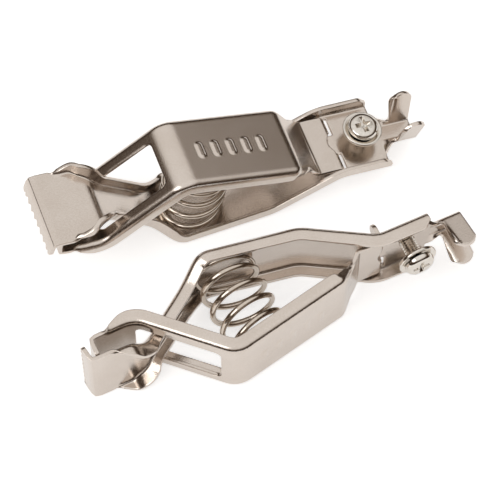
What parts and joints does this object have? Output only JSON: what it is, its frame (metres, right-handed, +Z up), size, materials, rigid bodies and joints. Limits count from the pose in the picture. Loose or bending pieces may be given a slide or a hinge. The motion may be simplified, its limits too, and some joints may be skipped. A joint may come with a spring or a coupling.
{
  "type": "alligator clip lead",
  "caption": "Pair of nickel-plated pressed-steel spring clips with toothed jaws, coil springs, screw terminals and crimp ears.",
  "frame": {"origin": "bottom centre of the box round the pair, on the surface they lie on", "axes": "+Z up; +X roughly along the clips towards their cable ends, jaws towards -X; +Y away from the lying clip's side towards the standing clip"},
  "size_m": [0.084, 0.0606, 0.0217],
  "materials": {
    "nickel_sheet": "satin nickel plate on pressed steel",
    "nickel_spring": "bright nickel-plated spring wire",
    "screw_nickel": "bright nickel plate"
  },
  "bodies": {
    "standing_terminal": {"standing_clip_terminal_half": "nickel_sheet", "standing_clip_spring": "nickel_spring"},
    "standing_window": {"standing_clip_window_half": "nickel_sheet"},
    "standing_washer": {"standing_clip_washer": "screw_nickel"},
    "standing_screw": {"standing_clip_screw": "screw_nickel"},
    "lying_terminal": {"lying_clip_terminal_half": "nickel_sheet", "lying_clip_spring": "nickel_spring"},
    "lying_window": {"lying_clip_window_half": "nickel_sheet"},
    "lying_washer": {"lying_clip_washer": "screw_nickel"},
    "lying_screw": {"lying_clip_screw": "screw_nickel"}
  },
  "joints": [
    {"name": "lying_clip_lift", "type": "slide", "parent": "standing_terminal", "child": "lying_terminal", "axis": [0, 0, 1], "range_m": [0, 0.05]},
    {"name": "standing_squeeze", "type": "hinge", "parent": "standing_terminal", "child": "standing_window", "pos_m": [0.01568, 0.01985, 0.0061], "axis": [0.3502, -0.9367, 0], "range_deg": [0, 16], "stiffness_Nm_per_rad": 0.9, "springref_deg": -25.78, "deforming": ["standing_clip_spring"]},
    {"name": "standing_screw_travel", "type": "slide", "parent": "standing_terminal", "child": "standing_washer", "axis": [0.1595, 0.0596, 0.9854], "range_m": [-0.0028, 0.0018]},
    {"name": "standing_screw_turn", "type": "hinge", "parent": "standing_washer", "child": "standing_screw", "pos_m": [0.02145, 0.02201, 0.00798], "axis": [0.1595, 0.0596, 0.9854], "range_deg": [-2016, 1296]},
    {"name": "lying_squeeze", "type": "hinge", "parent": "lying_terminal", "child": "lying_window", "pos_m": [0.02426, -0.00426, 0.0077], "axis": [0, 0, -1], "range_deg": [0, 16], "stiffness_Nm_per_rad": 0.9, "springref_deg": -25.78, "deforming": ["lying_clip_spring"]},
    {"name": "lying_screw_travel", "type": "slide", "parent": "lying_terminal", "child": "lying_washer", "axis": [0.4337, -0.9011, 0], "range_m": [-0.0037, 0.0009]},
    {"name": "lying_screw_turn", "type": "hinge", "parent": "lying_washer", "child": "lying_screw", "pos_m": [0.03109, -0.00519, 0.0077], "axis": [0.4337, -0.9011, 0], "range_deg": [-2664, 648]}
  ],
  "couplings": [
    {"joint": "standing_screw_turn", "follows": "standing_screw_travel", "rad_per_m": 12566},
    {"joint": "lying_screw_turn", "follows": "lying_screw_travel", "rad_per_m": 12566}
  ]
}
